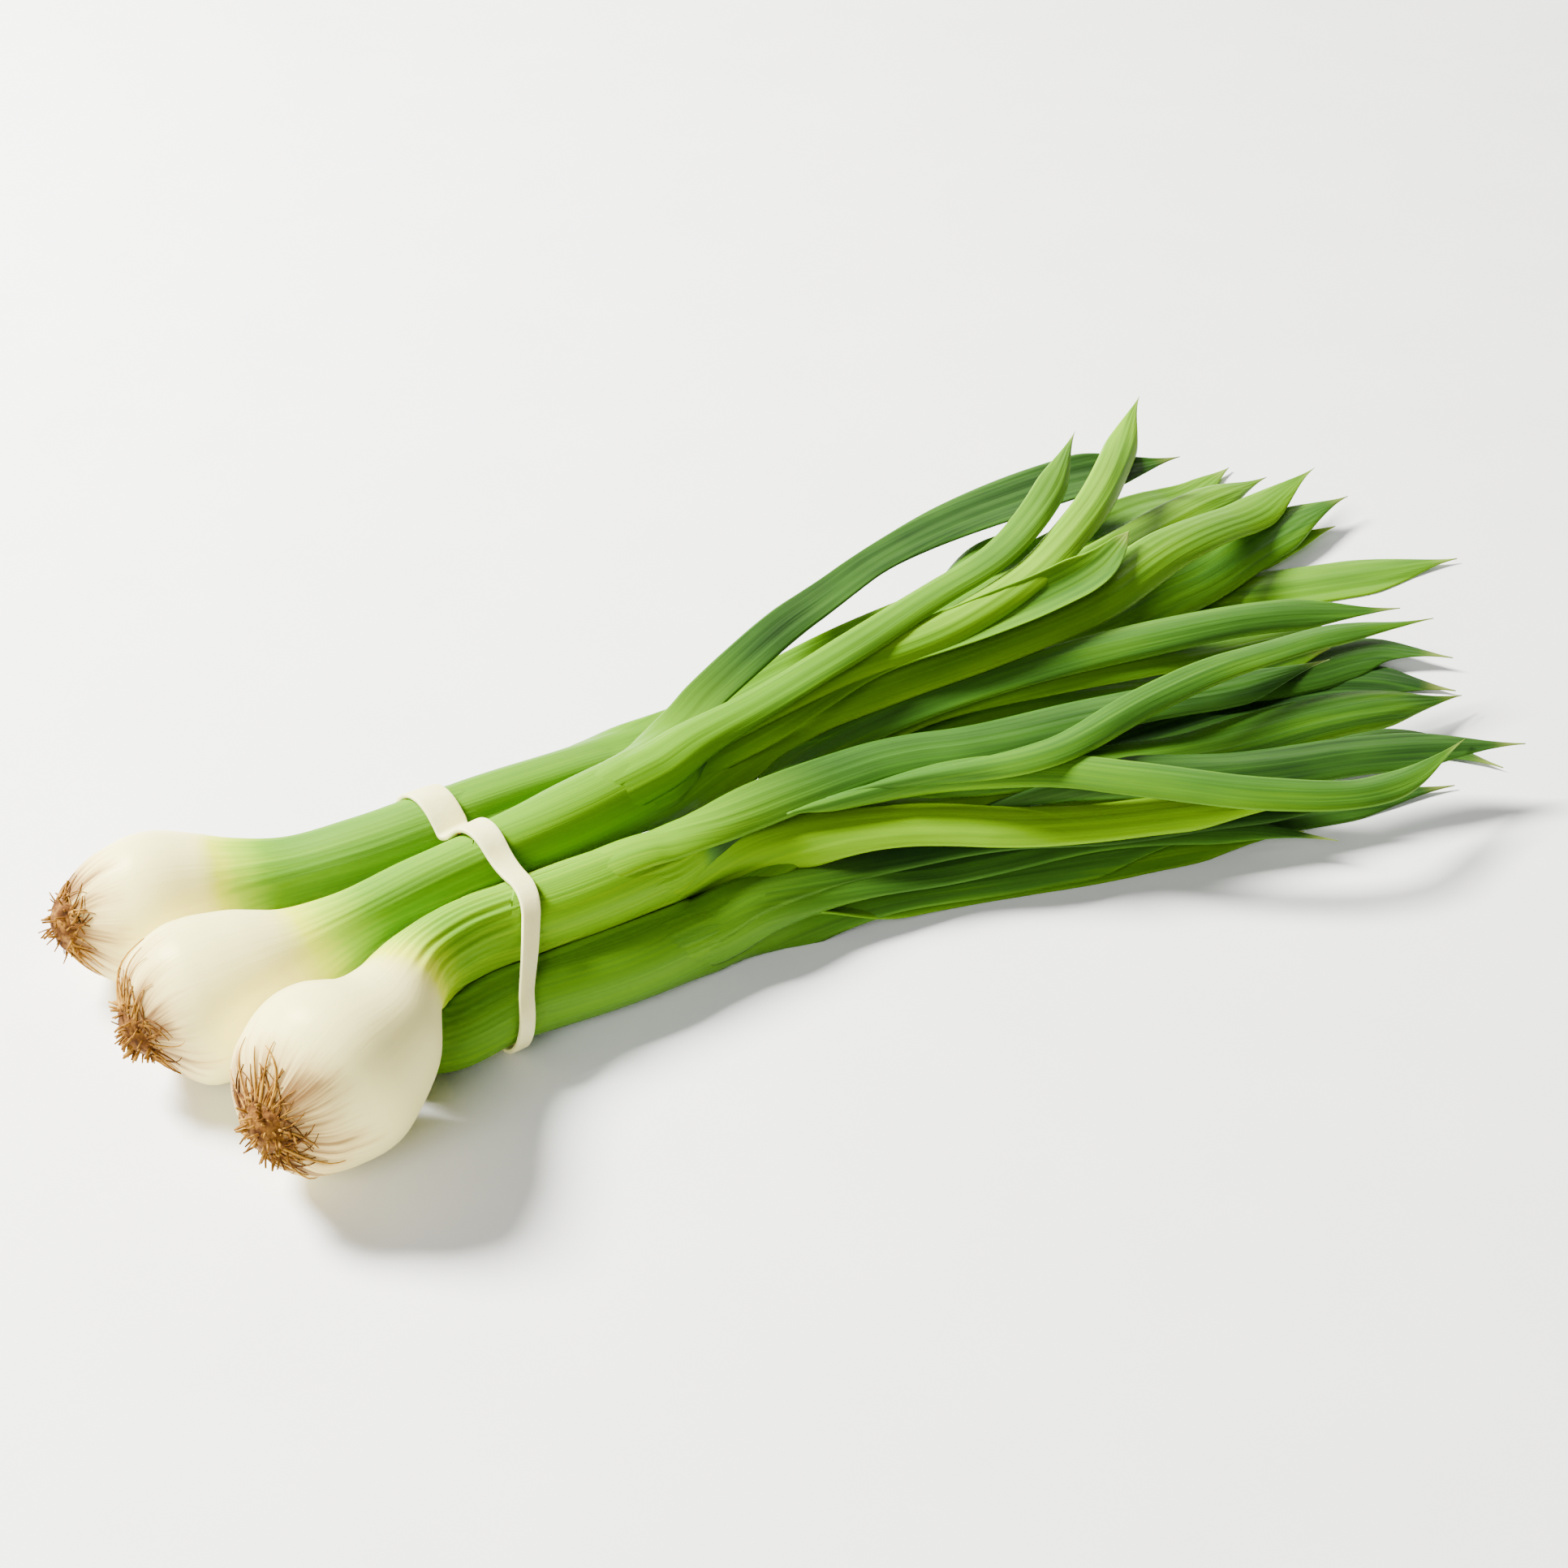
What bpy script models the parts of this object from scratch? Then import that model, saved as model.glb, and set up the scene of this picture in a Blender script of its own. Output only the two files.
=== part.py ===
"""Spring onion bunch: four spring onions lying on a table, held by one rubber band.

The bunch lies along X, bulbs towards -X and leaf tips towards +X, with Z up. Every
onion is one solid of bulb and leaf sheath, a tuft of cut roots, and its leaves. The
leaves are laid one on another from the table up: a leaf's plan route is chosen, and
its height is worked out from what it rests on. Numbers below are in millimetres.
"""

import math

import bmesh
import bpy
import numpy as np
from mathutils import Matrix, Vector

MM = 0.001
COLLECTION = "spring_onion_bunch"
# Room left between neighbours that touch in the real bunch.
GAP = 0.35
# Corners closer than this are one corner.
WELD = 1e-4
# Edges flatter than this are shaded smooth.
SMOOTH_BELOW = math.radians(50)

# Bulb and sheath of each onion: (x, y, z, radius) along its middle, roots first.
ONIONS = {
    1: (
        (-174, 51, 18, 5), (-169, 50.5, 17, 11), (-162, 49, 16, 14.8), (-155, 47, 16, 16),
        (-146, 44, 16.5, 13.8), (-138.5, 41, 17.5, 10.5), (-131, 37, 19, 8.4),
        (-114.5, 30, 22, 8), (-100, 26.3, 24, 8), (-75, 26.5, 21, 8), (-56, 29, 17.5, 7.4),
    ),
    2: (
        (-176, 13.5, 16, 5), (-172.5, 14, 16.5, 11.5), (-167, 13.5, 17.2, 16), (-159, 12, 17.8, 17.2),
        (-149, 11, 19.8, 14.4), (-140, 10.5, 21.5, 9.5), (-132, 10, 23, 7.4),
        (-113, 9.5, 25, 6.8), (-97, 8.8, 26, 6.9), (-74, 10, 26, 7.8), (-54, 12, 25, 7.8),
    ),
    3: (
        (-170, -30.7, 21, 5), (-166.5, -29.7, 20.4, 12), (-160, -27.2, 20.4, 16.8),
        (-150.8, -24.4, 21.6, 18.8), (-140.5, -21.4, 23.2, 14.5), (-132.9, -16.5, 25, 9.5),
        (-126.1, -11.7, 24.5, 8.1), (-115.4, -8.1, 23.5, 7.9), (-99.3, -7, 21.5, 8),
        (-82, -8.5, 21.8, 7.9), (-66, -9.5, 21, 7.4),
    ),
    4: (
        (-141, -3, 6.6, 3), (-138.5, -4, 6.8, 5.6), (-134, -7, 7.2, 6.8),
        (-129, -12, 7.7, 7), (-123, -17, 9.7, 7.5), (-113, -17.8, 10.9, 7.6),
        (-101, -17, 9.7, 7.7), (-80, -18.8, 8.9, 7.7), (-62, -19.5, 8.2, 7.5),
    ),
}
# Distance between the rings of a sheath's mesh.
SHEATH_STEP = 4.0
SHEATH_BEVEL_RESOLUTION = 5

# Root tufts: reach beyond the bulb, and greatest radius.
ROOTS = {1: (5.5, 6.5), 2: (6.5, 8.0), 3: (7.0, 8.0), 4: (4.5, 4.5)}
ROOT_SIDES = 14
ROOT_RINGS = 8
ROOT_LOBES = 5
ROOT_LOBE_DEPTH = 0.12
ROOT_FLATNESS = 0.1

# Rubber band. It runs over the sheaths in order and back below the last. A row for each
# sheath and for each stretch to the next: x of the band's middle, and its width.
BAND_ROUTE = (
    (-98.4, 7.6), (-100, 6.9), (-97.2, 5.9), (-97.7, 5),
    (-98, 4.4), (-103.6, 4), (-112.8, 3.4), (-107, 5.5),
)
# Radius of the hollow in each stretch: small where the band is pressed into the crease.
BAND_HOLLOWS = (2.5, 14, 60, 400)
# How many points the band gets on each sheath and on each stretch, and how often its
# route is smoothed.
BAND_POINTS = 7
BAND_SMOOTHINGS = 8
BAND_THICKNESS = 1.1
# A sheath crosses the band at a slant, which makes its section a little larger.
BAND_SLANT = 1.05

# Leaves, in the order that they are laid: onion, width, droop, lean in degrees and plan
# route. Droop is the strongest downward curvature that the leaf takes, in 1/m, and a lean
# lowers its front edge.
LEAVES = (
    (4, 10, 8, 10, ((-14, -23), (31, -39), (76, -57), (112, -71))),
    (4, 13, 8, 15, ((-8, -32), (26, -44), (53, -54), (71, -64))),
    (4, 18, 8, 22, ((-44, -21), (-11, -30), (35, -47), (50, -55))),
    (1, 13, 8, 12, ((8, 6), (58, -8), (101, -17), (126, -28), (140, -45))),
    (1, 13, 8, 12, ((19, 11), (75, -2), (114, -18), (135, -24), (147, -37))),
    (1, 13, 8, 12, ((26, 29), (80, 33), (108, 26), (137, 13), (184, -4))),
    (4, 12, 8, 12, ((-5, -11), (45, -22), (95, -46), (117, -55), (126, -73))),
    (3, 11, 8, 16, ((16, 8), (45, 5), (72, -1), (92, -13), (123, -19))),
    (1, 11, 8, 14, ((27, 30), (75, 27), (121, 25), (168, 24))),
    (4, 9, 8, 22, ((-26, -28), (3, -36), (27, -43), (45, -53), (62, -65), (71, -74))),
    (4, 10, 8, 22, ((-21, -25), (5, -33), (26, -44), (48, -53), (86, -72))),
    (1, 11, 6, 14, ((5, 34), (56, 37), (97, 44), (133, 55), (168, 64))),
    (2, 16, 6, 22, ((-6, 18), (39, 15), (78, 16), (114, 22), (150, 28), (177, 29))),
    (3, 8, 6, 20, ((20, 7), (56, 0), (79, -5), (110, -9), (135, -18))),
    (4, 10, 6, 22, ((-29, -13), (-1, -20), (22, -30), (44, -44), (91, -66))),
    (3, 13, 6, 20, ((-33, -18), (-11, -26), (9, -38), (31, -47), (50, -56), (69, -67))),
    (3, 9, 6, 22, ((-8, 6), (21, 6), (50, 3), (78, -2), (122, -12), (144, -21))),
    (2, 10, 6, 18, ((-5, 19), (43, 20), (91, 32), (131, 41), (169, 51))),
    (2, 15, 5, 22, ((-18, 15), (13, 14), (42, 12), (75, 13), (107, 22), (175, 40))),
    (1, 9, 5, 20, ((-13, 30), (5, 34), (35, 40), (62, 44), (90, 49))),
    (2, 11, 5, 24, ((-19, 12), (11, 17), (36, 15), (59, 15), (79, 18), (96, 26))),
    (2, 15, 3, 28, ((-22, 27), (10, 40), (41, 49), (70, 54), (97, 55), (136, 51))),
    (2, 11, 3, 20, ((-21, 13), (3, 16), (27, 15), (56, 20), (88, 34), (144, 76))),
    (2, 10, 3, 20, ((-23, 14), (9, 19), (31, 24), (55, 29), (82, 42), (110, 63))),
    (3, 10, 6, 22, ((-21, -17), (10, -27), (40, -37), (89, -45), (136, -50))),
    (4, 10, 6, 20, ((-14, -22), (19, -37), (54, -52), (92, -64), (123, -80))),
    (3, 15, 5, 20, ((-47, -8), (-26, -9), (-6, -12), (11, -19), (56, -29), (106, -34))),
    (3, 10, 4, 18, ((-29, -22), (-4, -25), (17, -36), (33, -51), (52, -67), (72, -76), (91, -76),
                  (110, -73))),
    (3, 9, 4, 18, ((-29, -22), (-6, -28), (18, -35), (48, -33), (82, -31), (111, -32), (136, -38))),
)
# One section, as (across in half widths, up in thicknesses): a flattened tube.
LEAF_SECTION = ((-1, 0.1), (-0.5, 0.5), (0.5, 0.5), (1, 0.1), (0.5, -0.5), (-0.5, -0.5))
LEAF_THICKNESS = 1.3
# Distance between the sections of a leaf's mesh.
LEAF_STEP = 9.0
# A leaf's first two points beyond the sheath's end; the share of the way to its route
# that they lie aside of the sheath's middle, and the most that may be.
LEAF_START = (1.5, 8.0)
LEAF_ASIDE_SHARE = 0.5
LEAF_ASIDE = 4.5
# Width where the leaf leaves the sheath, and the distance in which it opens out.
LEAF_GRIP_WIDTH = 6.0
LEAF_OPENING = 30.0
# Width of the very tip, the length of the point, its bluntness (1 for straight sides),
# the share of its thickness left there, and the share of width lost on the way to it.
LEAF_TIP_WIDTH = 1.4
LEAF_POINT = 26.0
LEAF_POINT_POWER = 0.7
LEAF_TIP_THICKNESS = 0.45
LEAF_NARROWING = 0.3
# Steepest lean of what a leaf rests on that it follows, the share that its own lean has
# in the outcome, and the distance in which it turns to that lean.
STEEPEST_LEAN = math.radians(32)
LEAN_SHARE = 0.7
LEAN_RAMP = 60.0

# Resting heights are worked out once per SAMPLE along a leaf, at ACROSS spots over its
# width, and evened out over SMOOTH samples either way (LEAN_SMOOTH for its lean).
SAMPLE = 1.0
ACROSS = 9
SMOOTH = 6
LEAN_SMOOTH = 8
LEAN_TRIALS = 21
# What a trial lean costs in height, so that of two equal ones the flatter is taken.
LEAN_COST = 0.3

# The heap of what is already laid, as heights on a square grid. Sheaths are laid with
# SHEATH_ACROSS spots over their width and without their last SHEATH_FREE_END, and faces
# with spots at most LAY_STEP apart.
HEAP_X = (-185, 190)
HEAP_Y = (-95, 90)
HEAP_CELL = 1.0
SHEATH_ACROSS = 61
SHEATH_FREE_END = 2.5
LAY_STEP = 0.6


def clear_scene():
    for obj in list(bpy.data.objects):
        bpy.data.objects.remove(obj, do_unlink=True)


def new_collection(name):
    collection = bpy.data.collections.new(name)
    bpy.context.scene.collection.children.link(collection)
    return collection


def new_material(name, colour, roughness):
    material = bpy.data.materials.new(name)
    material.use_nodes = True
    shader = material.node_tree.nodes["Principled BSDF"]
    shader.inputs["Base Color"].default_value = (*colour, 1.0)
    shader.inputs["Roughness"].default_value = roughness
    shader.inputs["Metallic"].default_value = 0.0
    return material


def smooth_curve(points, step):
    """Points about `step` apart on a smooth curve through the given ones."""
    points = np.array(points, float)
    spans = np.linalg.norm(np.diff(points[:, :2], axis=0), axis=1)
    knots = np.concatenate([[0.0], np.cumsum(spans)])
    slopes = np.gradient(points, knots, axis=0)
    count = int(round(knots[-1] / step)) + 1
    stations = np.linspace(0.0, knots[-1], count)
    span = np.clip(np.searchsorted(knots, stations, side="right") - 1, 0, len(knots) - 2)
    width = (knots[span + 1] - knots[span])[:, None]
    t = (stations - knots[span])[:, None] / width
    return (
        points[span] * (2 * t**3 - 3 * t**2 + 1)
        + points[span + 1] * (3 * t**2 - 2 * t**3)
        + slopes[span] * width * (t**3 - 2 * t**2 + t)
        + slopes[span + 1] * width * (t**3 - t**2)
    )


def mesh_object(name, bm, collection, material):
    """Turn a mesh drawn in millimetres into a named object in metres."""
    bm.transform(Matrix.Scale(MM, 4))
    mesh = bpy.data.meshes.new(name)
    bm.to_mesh(mesh)
    bm.free()
    mesh.shade_smooth()
    mesh.set_sharp_from_angle(angle=SMOOTH_BELOW)
    mesh.materials.append(material)
    obj = bpy.data.objects.new(name, mesh)
    collection.objects.link(obj)
    return obj


def loft(rings, capped=True):
    """A skin through rings of corners, with its two ends filled."""
    bm = bmesh.new()
    loops = [[bm.verts.new(Vector(corner)) for corner in ring] for ring in rings]
    sides = len(loops[0])
    for near, far in zip(loops, loops[1:]):
        for i in range(sides):
            j = (i + 1) % sides
            bm.faces.new((near[i], near[j], far[j], far[i]))
    if capped:
        bm.faces.new(loops[0])
        bm.faces.new(loops[-1])
    bmesh.ops.recalc_face_normals(bm, faces=bm.faces)
    return bm


def make_sheath(number, collection, material):
    """Bulb and leaf sheath in one: a round tube whose radius follows the onion."""
    name = f"onion_{number}_bulb_and_sheath"
    curve = bpy.data.curves.new(name, "CURVE")
    curve.dimensions = "3D"
    curve.bevel_depth = MM
    curve.bevel_resolution = SHEATH_BEVEL_RESOLUTION
    curve.use_fill_caps = True
    points = smooth_curve(ONIONS[number], SHEATH_STEP)
    spline = curve.splines.new("POLY")
    spline.points.add(len(points) - 1)
    for point, (x, y, z, radius) in zip(spline.points, points):
        point.co = (x * MM, y * MM, z * MM, 1.0)
        point.radius = radius
    curve.materials.append(material)
    obj = bpy.data.objects.new(name, curve)
    collection.objects.link(obj)
    return points


def make_roots(number, collection, material):
    """Root plate and cut roots: a lobed dome, flat where it faces the end of the bulb."""
    reach, radius = ROOTS[number]
    end, inner = (Vector(point[:3]) for point in ONIONS[number][:2])
    outward = (end - inner).normalized()
    turn = outward.to_track_quat("Z", "Y").to_matrix().to_4x4()
    bm = bmesh.new()
    bmesh.ops.create_uvsphere(bm, u_segments=ROOT_SIDES, v_segments=ROOT_RINGS, radius=1.0)
    for vert in bm.verts:
        x, y, z = vert.co
        lobe = 1.0 + ROOT_LOBE_DEPTH * math.sin(ROOT_LOBES * math.atan2(y, x) + number)
        height = max(z, z * ROOT_FLATNESS) + ROOT_FLATNESS
        vert.co = Vector((x * radius * lobe, y * radius * lobe, height * reach))
    bm.transform(Matrix.Translation(end + outward * GAP) @ turn)
    mesh_object(f"onion_{number}_roots", bm, collection, material)


def circles_at(sheaths, x):
    """Centre (y, z) and radius of every sheath where it crosses the plane at x."""
    circles = []
    for points in sheaths:
        y, z, radius = (np.interp(x, points[:, 0], points[:, i]) for i in (1, 2, 3))
        circles.append((y, z, radius * BAND_SLANT))
    return circles


def arc(centre, radius, start, end, turn):
    """Points and directions on an arc between two points' directions, turning one way."""
    first, last = (math.atan2(*(point - centre)[::-1]) for point in (start, end))
    angles = first + np.linspace(0, turn * ((turn * (last - first)) % (2 * math.pi)), BAND_POINTS + 1)[:-1]
    directions = np.stack([np.cos(angles), np.sin(angles)], axis=1)
    return centre + radius * directions, directions


def loop_round(circles):
    """Points and outward directions of a loop over the circles, hollow between them."""
    centres = [np.array(circle[:2]) for circle in circles]
    radii = [circle[2] + GAP for circle in circles]
    hubs = []
    for i, hollow in enumerate(BAND_HOLLOWS):
        step = centres[(i + 1) % len(circles)] - centres[i]
        apart = np.linalg.norm(step)
        near, far = radii[i] + hollow, radii[(i + 1) % len(circles)] + hollow
        ahead = (apart**2 + near**2 - far**2) / (2 * apart)
        aside = math.sqrt(near**2 - ahead**2)
        hubs.append(centres[i] + (step * ahead + np.array((step[1], -step[0])) * aside) / apart)
    points, outward = [], []
    for i, hollow in enumerate(BAND_HOLLOWS):
        over, over_out = arc(centres[i], radii[i], hubs[i - 1], hubs[i], 1)
        hanging, hanging_in = arc(hubs[i], hollow, centres[i], centres[(i + 1) % len(circles)], -1)
        points += [over, hanging]
        outward += [over_out, -hanging_in]
    return np.concatenate(points), np.concatenate(outward)


def smooth_round(values):
    """Values round a loop, each averaged with its neighbours a few times."""
    for _ in range(BAND_SMOOTHINGS):
        values = (np.roll(values, 1) + values + np.roll(values, -1)) / 3
    return values


def make_band(sheaths, collection, material):
    """Rubber band: a flat loop over all the sheaths, pressed into the creases between them."""
    count = BAND_POINTS * len(BAND_ROUTE)
    knots = (np.arange(len(BAND_ROUTE)) + 0.5) * BAND_POINTS
    middles, widths = (
        smooth_round(np.interp(np.arange(count), knots, column, period=count))
        for column in zip(*BAND_ROUTE)
    )
    rings = []
    for i in range(count):
        corners = []
        for side in (-0.5, 0.5):
            x = middles[i] + side * widths[i]
            points, outward = loop_round(circles_at(sheaths, x))
            corners += [(x, *(points[i] + outward[i] * up)) for up in (0, BAND_THICKNESS)]
        rings.append((corners[0], corners[1], corners[3], corners[2]))
    bm = loft([*rings, rings[0]], capped=False)
    bmesh.ops.remove_doubles(bm, verts=bm.verts, dist=WELD)
    bmesh.ops.recalc_face_normals(bm, faces=bm.faces)
    mesh_object("rubber_band", bm, collection, material)


class Heap:
    """What is laid so far, as the height of its top over a grid in plan."""

    def __init__(self):
        columns = int((HEAP_X[1] - HEAP_X[0]) / HEAP_CELL)
        rows = int((HEAP_Y[1] - HEAP_Y[0]) / HEAP_CELL)
        self.top = np.zeros((columns, rows))

    def cells(self, spots):
        column = np.floor((spots[..., 0] - HEAP_X[0]) / HEAP_CELL).astype(int)
        row = np.floor((spots[..., 1] - HEAP_Y[0]) / HEAP_CELL).astype(int)
        limit = self.top.shape
        return np.clip(column, 1, limit[0] - 2), np.clip(row, 1, limit[1] - 2)

    def under(self, spots):
        return self.top[self.cells(spots)]

    def lay(self, spots):
        """Raise the cells at and next to each (x, y, z) spot to its height."""
        column, row = self.cells(spots)
        for across in (-1, 0, 1):
            for along in (-1, 0, 1):
                np.maximum.at(self.top, (column + across, row + along), spots[..., 2])


def lay_sheath(heap, points):
    """Lay a sheath, but for its very end, where its own leaves start."""
    fine = smooth_curve(points, 0.5 * HEAP_CELL)
    fine = fine[np.linalg.norm(fine[:, :2] - points[-1, :2], axis=1) > SHEATH_FREE_END]
    across = np.linspace(-1, 1, SHEATH_ACROSS)
    spots = np.empty((len(fine), len(across), 3))
    spots[..., 0] = fine[:, None, 0]
    spots[..., 1] = fine[:, None, 1] + across * fine[:, None, 3]
    spots[..., 2] = fine[:, None, 2] + np.sqrt(1 - across**2) * fine[:, None, 3]
    heap.lay(spots)


def average(values, reach):
    """Mean over `reach` samples either way."""
    window = np.ones(2 * reach + 1) / (2 * reach + 1)
    return np.convolve(np.pad(values, reach, mode="edge"), window, mode="valid")


def highest(values, reach):
    """Greatest value within `reach` samples either way."""
    padded = np.pad(values, reach, mode="edge")
    return np.max([padded[i : i + len(values)] for i in range(2 * reach + 1)], axis=0)


def leaf_widths(distance, full):
    """Half width along a leaf: narrow at the sheath, then full, then a long point."""
    length = distance[-1]
    opening = np.clip(distance / LEAF_OPENING, 0, 1)
    opening = opening * opening * (3 - 2 * opening)
    body = (LEAF_GRIP_WIDTH + (full - LEAF_GRIP_WIDTH) * opening) * (1 - LEAF_NARROWING * distance / length)
    point = np.clip((length - distance) / LEAF_POINT, 0, 1) ** LEAF_POINT_POWER
    return 0.5 * np.maximum(body * point, LEAF_TIP_WIDTH)


def rest(heap, path, side, half_width, thickness, base, droop, wish):
    """Middle heights and leans of a leaf that lies along a plan path on the heap."""
    across = np.linspace(-1, 1, ACROSS) * half_width[:, None]
    spots = path[:, None, :] + across[..., None] * side[:, None, :]
    under = heap.under(spots)
    leans = np.linspace(-1, 1, LEAN_TRIALS) * math.tan(STEEPEST_LEAN)
    lifted = np.max(under[:, None, :] - leans[:, None] * across[:, None, :], axis=2)
    lean = leans[np.argmin(lifted + LEAN_COST * np.abs(leans), axis=1)]
    lean += LEAN_SHARE * (wish - lean)
    lean = average(average(lean, LEAN_SMOOTH), LEAN_SMOOTH)
    lean *= np.clip(np.arange(len(lean)) * SAMPLE / LEAN_RAMP, 0, 1)
    height = np.max(under - lean[:, None] * across, axis=1) + GAP
    height += 0.5 * thickness * np.sqrt(1 + lean**2)
    height[0] = max(height[0], base)
    gaps = (np.arange(len(path))[:, None] - np.arange(len(path))[None, :]) * SAMPLE
    height = np.max(height[None, :] - 0.5 * droop * MM * gaps**2, axis=1)
    height = average(average(highest(height, 2 * SMOOTH), SMOOTH), SMOOTH)
    return height, lean


def leaf_rings(middle, side, lean, half_width, thickness):
    """Corners of a leaf's sections, from its middle line, side vectors and leans."""
    along = np.gradient(middle, axis=0)
    along /= np.linalg.norm(along, axis=1)[:, None]
    across = np.column_stack([side, lean])
    across -= np.sum(across * along, axis=1)[:, None] * along
    across /= np.linalg.norm(across, axis=1)[:, None]
    right = across * half_width[:, None]
    up = np.cross(along, across) * thickness[:, None]
    return [[m + r * x + u * z for x, z in LEAF_SECTION] for m, r, u in zip(middle, right, up)]


def lay_leaf(heap, rings):
    """Add the top faces of a leaf, sampled between its sections, to the heap."""
    tops = np.array([ring[:4] for ring in rings])
    steps = np.linspace(0, 1, int(LEAF_STEP / LAY_STEP) + 1)
    for near, far in zip(tops, tops[1:]):
        lines = near[None] + (far - near)[None] * steps[:, None, None]
        for left, right in zip(range(3), range(1, 4)):
            over = lines[:, right] - lines[:, left]
            heap.lay(lines[:, left, None] + over[:, None] * steps[:, None])


def make_leaf(name, leaf, rank, sheath, heap, collection, material):
    """Lay one leaf on the heap, starting at its rank's height in the sheath's end."""
    onion, width, droop, lean, route = leaf
    end, before = sheath[-1], sheath[-2]
    ahead = (end - before)[:2] / np.linalg.norm((end - before)[:2])
    aside = np.array((-ahead[1], ahead[0]))
    offset = LEAF_ASIDE_SHARE * aside @ (np.array(route[0]) - end[:2])
    offset = np.clip(offset, -LEAF_ASIDE, LEAF_ASIDE)
    start = [end[:2] + ahead * reach + aside * offset for reach in LEAF_START]
    path = smooth_curve([*start, *route], SAMPLE)
    side = np.gradient(path, axis=0)
    side = np.column_stack([-side[:, 1], side[:, 0]])
    side /= np.linalg.norm(side, axis=1)[:, None]
    siblings = sum(other[0] == onion for other in LEAVES)
    level = (end[3] - LEAF_THICKNESS) * (2 * (rank - 0.5) / siblings - 1)
    distance = np.arange(len(path)) * SAMPLE
    half_width = leaf_widths(distance, width)
    thinning = np.clip(LEAF_TIP_THICKNESS + (distance[-1] - distance) / LEAF_POINT, 0, 1)
    thickness = LEAF_THICKNESS * thinning
    wish = math.tan(math.radians(lean))
    height, lean = rest(heap, path, side, half_width, thickness, end[2] + level, droop, wish)
    count = int(round(distance[-1] / LEAF_STEP)) + 1
    keep = np.round(np.linspace(0, len(path) - 1, count)).astype(int)
    middle = np.column_stack([path, height])[keep]
    rings = leaf_rings(middle, side[keep], lean[keep], half_width[keep], thickness[keep])
    lay_leaf(heap, rings)
    mesh_object(name, loft(rings), collection, material)


def stand_on_origin(collection):
    """Move every part so that the origin is the bottom centre of the bunch."""
    bpy.context.view_layer.update()
    graph = bpy.context.evaluated_depsgraph_get()
    corners = []
    for obj in collection.objects:
        mesh = obj.evaluated_get(graph).to_mesh()
        corners += [obj.matrix_world @ vert.co for vert in mesh.vertices]
        obj.evaluated_get(graph).to_mesh_clear()
    low = [min(corner[axis] for corner in corners) for axis in range(3)]
    high = [max(corner[axis] for corner in corners) for axis in range(3)]
    shift = Vector(((low[0] + high[0]) / 2, (low[1] + high[1]) / 2, low[2]))
    for obj in collection.objects:
        obj.location -= shift


def main():
    clear_scene()
    collection = new_collection(COLLECTION)
    sheath_look = new_material("sheath", (0.62, 0.76, 0.36), 0.35)
    root_look = new_material("roots", (0.32, 0.19, 0.09), 0.85)
    leaf_look = new_material("leaf", (0.16, 0.40, 0.08), 0.4)
    band_look = new_material("rubber", (0.85, 0.80, 0.60), 0.5)
    heap = Heap()
    sheaths = {}
    for number in ONIONS:
        sheaths[number] = make_sheath(number, collection, sheath_look)
        make_roots(number, collection, root_look)
        lay_sheath(heap, sheaths[number])
    make_band(list(sheaths.values()), collection, band_look)
    ranks = dict.fromkeys(ONIONS, 0)
    for leaf in LEAVES:
        onion = leaf[0]
        ranks[onion] += 1
        name = f"onion_{onion}_leaf_{ranks[onion]}"
        make_leaf(name, leaf, ranks[onion], sheaths[onion], heap, collection, leaf_look)
    stand_on_origin(collection)


main()
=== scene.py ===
"""Looks of the spring onion bunch.

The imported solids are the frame. Each solid is replaced by a finer mesh worked out from
it: bulbs with their leaf sheaths, leaves that hug the sheath they grow from, tufts of
cut roots, and the rubber band. Lengths are in millimetres until a mesh is made.
"""

import math

import bmesh
import bpy
import numpy as np
from mathutils import Matrix, Vector, noise


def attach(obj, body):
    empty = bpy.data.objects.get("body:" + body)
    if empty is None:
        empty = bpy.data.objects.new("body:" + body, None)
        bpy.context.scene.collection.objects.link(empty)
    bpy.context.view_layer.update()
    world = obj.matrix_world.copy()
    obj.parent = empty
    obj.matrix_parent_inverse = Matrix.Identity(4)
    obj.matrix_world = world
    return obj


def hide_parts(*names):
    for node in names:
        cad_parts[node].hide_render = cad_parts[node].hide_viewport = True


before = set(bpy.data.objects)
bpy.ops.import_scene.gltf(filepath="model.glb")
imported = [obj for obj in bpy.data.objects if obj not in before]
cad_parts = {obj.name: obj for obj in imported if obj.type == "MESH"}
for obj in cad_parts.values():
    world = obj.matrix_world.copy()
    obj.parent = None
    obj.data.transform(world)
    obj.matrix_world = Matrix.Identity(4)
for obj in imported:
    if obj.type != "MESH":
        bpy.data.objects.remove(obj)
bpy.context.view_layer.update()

MM = 0.001
UP = np.array((0.0, 0.0, 1.0))
# The lowest that a mesh reaches.
ABOVE_TABLE = 0.05
# How flat a solid's end is, and how far across it at most.
END_FLAT, END_ACROSS = 0.05, 25.0
# How far apart the noises of two sheaths, two leaves and two wobbles lie.
SHEATH_SEED, LEAF_SEED, WOBBLE_SEED = 3.7, 11.3, 7.3

# Sheaths. Stations run from the root end (negative) to the leaf end (zero). Beyond it the
# sheath goes on as a core that the leaves hide: stations, and shares of its end's radius.
SHEATH_STEP = 1.0
SHEATH_SIDES = 120
CORE = ((12.0, 0.66), (27.0, 0.12), (45.0, 0.1), (65.0, 0.1), (90.0, 0.1))
CORE_END = 27.0
# The stations between which the core is painted dark, as painted shade among the leaves.
CORE_PAINTED_SHADE = (0.0, 14.0)
# How far from round a sheath is, with two and with three lobes, as shares of its radius.
TWO_LOBES, THREE_LOBES = 0.012, 0.008
# Ribs along each sheath: how many round it, and how high.
RIBS = {1: (34, 0.05), 2: (34, 0.05), 3: (30, 0.16), 4: (34, 0.08)}
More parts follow.
